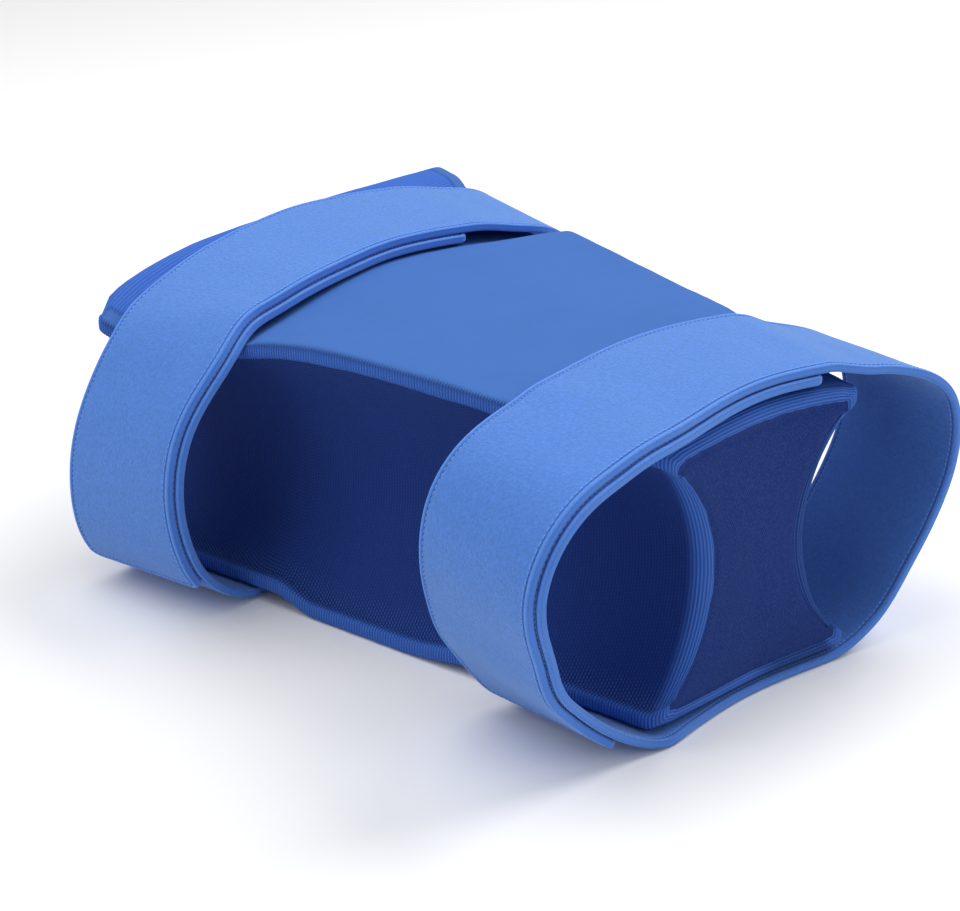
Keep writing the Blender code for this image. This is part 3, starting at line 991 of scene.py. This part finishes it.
def cover_material(settings):
    """Taut ribbed knit: ribs that run round the wedge, a fine knit grain and a twill end panel."""
    nodes = Nodes("ribbed_knit_cover")
    along, around = nodes.map_axes()
    place = nodes.place()
    ribs = nodes.attribute("ribs")
    top_cloth = nodes.attribute("top_cloth")
    lip_cloth = nodes.attribute("lip_cloth")
    on_panel = nodes.attribute("panel")
    off_panel = nodes.without(on_panel)

    wave = nodes.math("COSINE", nodes.times(along, 2 * math.pi / settings.rib_pitch))
    valley = nodes.line(wave, -0.5, 0.5)
    # Painted shade in the rib valleys
    rib_shade = nodes.times(valley, ribs, off_panel)
    # Painted highlight: pale dots along the rib crests at the knit's loop pitch
    bead_highlight = nodes.line(nodes.sine(around, BEAD_PITCH), 0.5, 0.5)
    bead_highlight = nodes.times(bead_highlight, nodes.without(valley), ribs, off_panel)
    slant = nodes.line(around, TWILL_SLANT, along)
    twill = nodes.times(nodes.line(nodes.sine(slant, TWILL_PITCH), 0.5, 0.5), on_panel)
    knit = nodes.times(nodes.sine(around, KNIT_PITCH), nodes.sine(along, settings.rib_pitch / 2))
    fleck = nodes.noise(place, 700.0, 3.0, 0.6)
    cloud = nodes.noise(place, 22.0, 3.0, 0.55)

    # Painted shade: away from the lips and on the end panels the cover takes the darker side colour
    side_shade_colour = nodes.mix(lip_cloth, settings.side_shade_colour, settings.lip_colour)
    side_shade_colour = nodes.mix(on_panel, side_shade_colour, settings.side_shade_colour)
    border = nodes.line(wave, 0.04, top_cloth)
    on_top = nodes.line(border, 12.0, -5.5, clamped=True)
    # Painted shade: a dark line along the turn from the top down to the lip
    turn_shade_line = nodes.times(nodes.ridge(border, 0.40, 0.24), off_panel)
    colour = nodes.mix(on_top, side_shade_colour, settings.cover_colour)
    # dark: a deeper tone, for the random clouding and the twill and for the painted shade in the
    # rib valleys and at the turn; light: a paler tone, for the fleck grain and for the painted
    # highlights on the rib beads
    dark = nodes.mix(0.60, colour, (0.0, 0.0, 0.02))
    light = nodes.mix(0.5, colour, scaled(settings.cover_colour, 1.5))
    grain = nodes.line(on_panel, 0.16, 0.10)
    shades = (
        (nodes.without(cloud), 0.22, dark), (rib_shade, 0.75, dark), (bead_highlight, 0.85, light),
        (turn_shade_line, 0.75, dark), (twill, 0.45, dark),
        (nodes.line(fleck, 3.0, -1.2, clamped=True), grain, light),
    )
    for where, strength, shade in shades:
        colour = nodes.mix(nodes.times(where, strength), colour, shade)

    height = nodes.line(knit, 0.25, nodes.times(fleck, 0.5))
    height = nodes.math("ADD", height, nodes.times(twill, 0.8))
    normal = nodes.bump(nodes.times(wave, ribs, off_panel), 0.00025, 0.6)
    normal = nodes.bump(height, 0.00012, 0.55, normal)
    return nodes.finish(colour, normal, {
        "Roughness": 0.75, "Specular IOR Level": 0.15, "Sheen Weight": 0.06,
        "Sheen Roughness": 0.45, "Sheen Tint": (0.35, 0.60, 1.0, 1.0),
    })


def band_material(name, settings, colour):
    """Brushed loop cloth: a mottled nap, a plain cut wall, painted highlights along the rim and
    beside the stitching, and painted shade in the seam groove.
    """
    nodes = Nodes(name)
    along, _ = nodes.map_axes()
    place = nodes.place()
    inside = nodes.attribute("inside_edge")
    nap = nodes.noise(place, 1100.0, 4.0, 0.65)
    tuft = nodes.noise(place, 430.0, 3.0, 0.6)
    cloud = nodes.noise(place, 30.0, 3.0, 0.5)
    wall = nodes.ridge(inside, 0.0, 0.0004)

    base = nodes.mix(cloud, scaled(colour, 0.94), scaled(colour, 1.06))
    shades = (
        (nodes.line(tuft, 3.0, -1.0, clamped=True), 0.6, 1.42),
        (nodes.line(nap, 3.0, -1.0, clamped=True), 0.45, 0.62),
        # Painted shade in the seam groove
        (nodes.ridge(inside, settings.stitch_inset - SEAM_OFFSET, 0.0011), 0.55, 0.40),
        # Painted highlights: along the rounded rim, and on the cloth just inside the stitching
        (nodes.ridge(inside, 0.0018, 0.0016), 0.50, 1.6),
        (nodes.ridge(inside, settings.stitch_inset + 0.0008, 0.0012), 0.30, 1.45),
    )
    for where, strength, factor in shades:
        base = nodes.mix(nodes.times(where, strength), base, scaled(colour, factor))
    base = nodes.mix(nodes.times(wall, 0.8), base, settings.wall_colour)

    near_seam = nodes.ridge(inside, settings.stitch_inset, 0.003)
    pucker = nodes.times(nodes.sine(along, settings.stitch_length), near_seam)
    fuzz = nodes.math("ADD", nap, nodes.times(tuft, 1.4))
    fuzz = nodes.times(fuzz, nodes.without(wall))
    normal = nodes.bump(fuzz, 0.0006, 0.7, nodes.bump(pucker, 0.00015, 0.5))
    return nodes.finish(base, normal, {
        "Roughness": 0.85, "Specular IOR Level": 0.15, "Sheen Weight": 0.31,
        "Sheen Roughness": 0.5, "Sheen Tint": (0.72, 0.94, 0.80, 1.0),
    })


def thread_material(settings):
    """Twisted polyester thread, a little paler than the cloth."""
    nodes = Nodes("blue_thread")
    twist = nodes.noise(nodes.place(), 2500.0, 2.0, 0.5)
    thread = settings.thread_colour
    colour = nodes.mix(twist, scaled(thread, 0.85), scaled(thread, 1.15))
    normal = nodes.bump(twist, 0.0001, 0.5)
    return nodes.finish(colour, normal, {"Roughness": 0.5, "Sheen Weight": 0.2})


def floor_material(settings):
    """Plain pale studio floor."""
    nodes = Nodes("pale_floor")
    place = nodes.place()
    grain = nodes.noise(place, 60.0, 3.0, 0.5)
    colour = nodes.mix(grain, scaled(settings.floor_colour, 0.995), settings.floor_colour)
    nodes.join(colour, nodes.shader.inputs["Base Color"])
    nodes.shader.inputs["Roughness"].default_value = 0.9
    nodes.shader.inputs["Specular IOR Level"].default_value = 0.1
    return nodes.material


class AbductionCoverSettings(bpy.types.PropertyGroup):
    """Look of the wedge's cover."""

    cover_colour: bpy.props.FloatVectorProperty(
        name="Cover colour", description="Colour of the cover's top", subtype="COLOR",
        size=3, min=0.0, max=1.0, default=(0.050, 0.147, 0.45),
    )
    lip_colour: bpy.props.FloatVectorProperty(
        name="Lip colour", description="Colour of the ribbed lips and end rolls", subtype="COLOR",
        size=3, min=0.0, max=1.0, default=(0.047, 0.148, 0.58),
    )
    # Side colour: painted shade, a darker copy of the cover's cloth standing in for the shade in
    # its hollows and on its end panels; it also covers the underside
    side_shade_colour: bpy.props.FloatVectorProperty(
        name="Side colour", description="Colour of the cover's hollows, end panels and underside",
        subtype="COLOR", size=3, min=0.0, max=1.0, default=(0.0065, 0.027, 0.180),
    )
    rib_pitch: bpy.props.FloatProperty(
        name="Rib spacing", description="Distance from one rib of the knit to the next",
        unit="LENGTH", min=0.001, max=0.01, default=RIB_PITCH,
    )
    fill: bpy.props.FloatProperty(
        name="Fill", description="How tight the foam fills the cover", subtype="FACTOR",
        min=0.0, max=1.0, default=0.95,
    )


class AbductionBandSettings(bpy.types.PropertyGroup):
    """Look of the two bands."""

    cloth_colour: bpy.props.FloatVectorProperty(
        name="Cloth colour", description="Colour of the brushed cloth", subtype="COLOR",
        size=3, min=0.0, max=1.0, default=(0.066, 0.190, 0.60),
    )
    wall_colour: bpy.props.FloatVectorProperty(
        name="Wall colour", description="Colour of the cloth's plain cut wall", subtype="COLOR",
        size=3, min=0.0, max=1.0, default=(0.070, 0.205, 0.68),
    )
    thread_colour: bpy.props.FloatVectorProperty(
        name="Thread colour", description="Colour of the stitching", subtype="COLOR",
        size=3, min=0.0, max=1.0, default=(0.17, 0.36, 0.82),
    )
    stitch_inset: bpy.props.FloatProperty(
        name="Stitch inset", description="Distance from the cloth's edge to the stitching",
        unit="LENGTH", min=0.0045, max=0.0058, default=0.0050,
    )
    stitch_length: bpy.props.FloatProperty(
        name="Stitch length", description="Distance from one stitch to the next",
        unit="LENGTH", min=0.001, max=0.01, default=0.0034,
    )
    thread: bpy.props.FloatProperty(
        name="Thread", description="Thickness of the thread", unit="LENGTH",
        min=0.0002, max=0.001, default=0.0006,
    )
    hem_puff: bpy.props.FloatProperty(
        name="Hem puff", description="How far the hem swells outside the stitching",
        unit="LENGTH", min=0.0, max=0.001, default=0.00025,
    )


class AbductionStageSettings(bpy.types.PropertyGroup):
    """Floor, lights and camera."""

    floor_colour: bpy.props.FloatVectorProperty(
        name="Floor colour", description="Colour of the plain floor", subtype="COLOR",
        size=3, min=0.0, max=1.0, default=(0.94, 0.94, 0.945),
    )
    floor_size: bpy.props.FloatProperty(
        name="Floor size", description="Side of the square floor", unit="LENGTH",
        min=1.0, max=40.0, default=14.0,
    )
    camera_turn: bpy.props.FloatProperty(
        name="Camera turn", description="How far round the camera stands from the near side",
        unit="ROTATION", default=math.radians(47.2),
    )
    camera_rise: bpy.props.FloatProperty(
        name="Camera rise", description="How far the camera looks down", unit="ROTATION",
        default=math.radians(24.6),
    )
    camera_distance: bpy.props.FloatProperty(
        name="Camera distance", description="From the camera to the middle of the view",
        unit="LENGTH", min=0.3, max=10.0, default=1.665,
    )
    camera_lens: bpy.props.FloatProperty(
        name="Camera lens", description="Focal length in millimetres", min=20.0, max=300.0,
        default=93.75,
    )


class ABDUCTION_OT_pillow(bpy.types.Operator):
    """Add the foam wedge in its ribbed knit cover"""

    bl_idname = "abduction.pillow"
    bl_label = "Wedge in its cover"

    def execute(self, context):
        settings = context.scene.abduction_cover
        piece = add_piece("Wedge_Cover", cover_mesh(), cover_material(settings))
        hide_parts("pillow")
        return {"FINISHED"}


def add_band(settings, node, name, slot):
    """Add one band and its stitching."""
    path = BandPath(node)
    cloth = add_piece(
        name,
        band_mesh(path, name + "_cloth", settings.stitch_inset, settings.hem_puff),
        band_material(slot, settings, settings.cloth_colour),
    )
    stitches = add_piece(
        name + "_Stitching",
        stitch_mesh(
            path, name + "_stitches", settings.stitch_inset, settings.stitch_length, settings.thread
        ),
        thread_material(settings),
    )
    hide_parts(node)


class ABDUCTION_OT_calf_band(bpy.types.Operator):
    """Add the band at the wide end, wound round the wedge and both lower leg spaces"""

    bl_idname = "abduction.calf_band"
    bl_label = "Calf band"

    def execute(self, context):
        add_band(context.scene.abduction_bands, "calf_strap", "Calf_Band", "calf_band_cloth")
        return {"FINISHED"}


class ABDUCTION_OT_thigh_band(bpy.types.Operator):
    """Add the band at the narrow end, wound round the wedge and both thigh spaces"""

    bl_idname = "abduction.thigh_band"
    bl_label = "Thigh band"

    def execute(self, context):
        add_band(context.scene.abduction_bands, "thigh_strap", "Thigh_Band", "thigh_band_cloth")
        return {"FINISHED"}


def look_from(turn, rise):
    """The direction from the middle of the view to a camera or a light."""
    return Vector((
        math.sin(turn) * math.cos(rise), -math.cos(turn) * math.cos(rise), math.sin(rise)
    ))


def facing(position, target):
    """A place and turn that looks from a position at a target."""
    turned = (target - position).to_track_quat("-Z", "Y").to_matrix().to_4x4()
    return Matrix.Translation(position) @ turned


VIEW_TARGET = Vector((0.001, -0.021, 0.100))
SKY_STRENGTH = 0.28

# Soft lamps: how far round and how high they stand in degrees, distance, size and power
LAMP_COLUMNS = ("name", "turn", "rise", "distance", "size", "power")
LAMPS = (
    ("Key_Softbox", -40.0, 66.0, 2.4, 2.2, 36.0),
    ("Near_Softbox", -12.0, 30.0, 2.6, 1.6, 10.0),
    ("Far_Softbox", 168.0, 48.0, 2.6, 2.0, 52.0),
    ("End_Softbox", 85.0, 38.0, 2.6, 1.6, 9.0),
)


class ABDUCTION_OT_stage(bpy.types.Operator):
    """Add the plain floor, the soft lamps and the camera"""

    bl_idname = "abduction.stage"
    bl_label = "Floor, lamps and camera"

    def execute(self, context):
        settings = context.scene.abduction_stage
        bpy.ops.object.select_all(action="DESELECT")
        bpy.ops.mesh.primitive_plane_add(size=settings.floor_size, location=(0.0, 0.0, -0.0004))
        floor = context.active_object
        floor.name = "Floor"
        bpy.ops.object.transform_apply(location=True, rotation=True, scale=True)
        floor.data.materials.append(floor_material(settings))
        for values in LAMPS:
            lamp = dict(zip(LAMP_COLUMNS, values))
            light = bpy.data.lights.new(lamp["name"], "AREA")
            light.shape = "SQUARE"
            light.size = lamp["size"]
            light.energy = lamp["power"]
            made = bpy.data.objects.new(lamp["name"], light)
            context.scene.collection.objects.link(made)
            position = VIEW_TARGET + lamp["distance"] * look_from(
                math.radians(lamp["turn"]), math.radians(lamp["rise"])
            )
            made.matrix_world = facing(position, VIEW_TARGET)
        world = context.scene.world or bpy.data.worlds.new("Studio")
        context.scene.world = world
        world.use_nodes = True
        sky = world.node_tree.nodes["Background"]
        sky.inputs["Color"].default_value = (1.0, 1.0, 1.0, 1.0)
        sky.inputs["Strength"].default_value = SKY_STRENGTH
        lens = bpy.data.cameras.new("Camera")
        lens.lens = settings.camera_lens
        lens.sensor_fit = "HORIZONTAL"
        lens.sensor_width = 36.0
        camera = bpy.data.objects.new("Camera", lens)
        context.scene.collection.objects.link(camera)
        back = look_from(settings.camera_turn, settings.camera_rise)
        camera.matrix_world = facing(VIEW_TARGET + settings.camera_distance * back, VIEW_TARGET)
        context.scene.camera = camera
        context.scene.view_settings.view_transform = "Standard"
        context.scene.view_settings.look = "None"
        return {"FINISHED"}


class ABDUCTION_PT_panel(bpy.types.Panel):
    """Sizes, colours and buttons of the abduction pillow"""

    bl_idname = "ABDUCTION_PT_panel"
    bl_label = "Abduction pillow"
    bl_space_type = "VIEW_3D"
    bl_region_type = "UI"
    bl_category = "Abduction pillow"

    def draw(self, context):
        scene = context.scene
        groups = (
            (scene.abduction_cover, ("abduction.pillow",)),
            (scene.abduction_bands, ("abduction.calf_band", "abduction.thigh_band")),
            (scene.abduction_stage, ("abduction.stage",)),
        )
        for settings, buttons in groups:
            box = self.layout.box()
            for key in settings.bl_rna.properties.keys():
                if key not in ("rna_type", "name"):
                    box.prop(settings, key)
            for button in buttons:
                box.operator(button)


CLASSES = (
    AbductionCoverSettings,
    AbductionBandSettings,
    AbductionStageSettings,
    ABDUCTION_OT_pillow,
    ABDUCTION_OT_calf_band,
    ABDUCTION_OT_thigh_band,
    ABDUCTION_OT_stage,
    ABDUCTION_PT_panel,
)


def register():
    for item in CLASSES:
        bpy.utils.register_class(item)
    bpy.types.Scene.abduction_cover = bpy.props.PointerProperty(type=AbductionCoverSettings)
    bpy.types.Scene.abduction_bands = bpy.props.PointerProperty(type=AbductionBandSettings)
    bpy.types.Scene.abduction_stage = bpy.props.PointerProperty(type=AbductionStageSettings)


def unregister():
    del bpy.types.Scene.abduction_stage
    del bpy.types.Scene.abduction_bands
    del bpy.types.Scene.abduction_cover
    for item in reversed(CLASSES):
        bpy.utils.unregister_class(item)


def main():
    register()
    bpy.ops.abduction.stage()
    bpy.ops.abduction.pillow()
    bpy.ops.abduction.calf_band()
    bpy.ops.abduction.thigh_band()


if __name__ == "__main__":
    main()
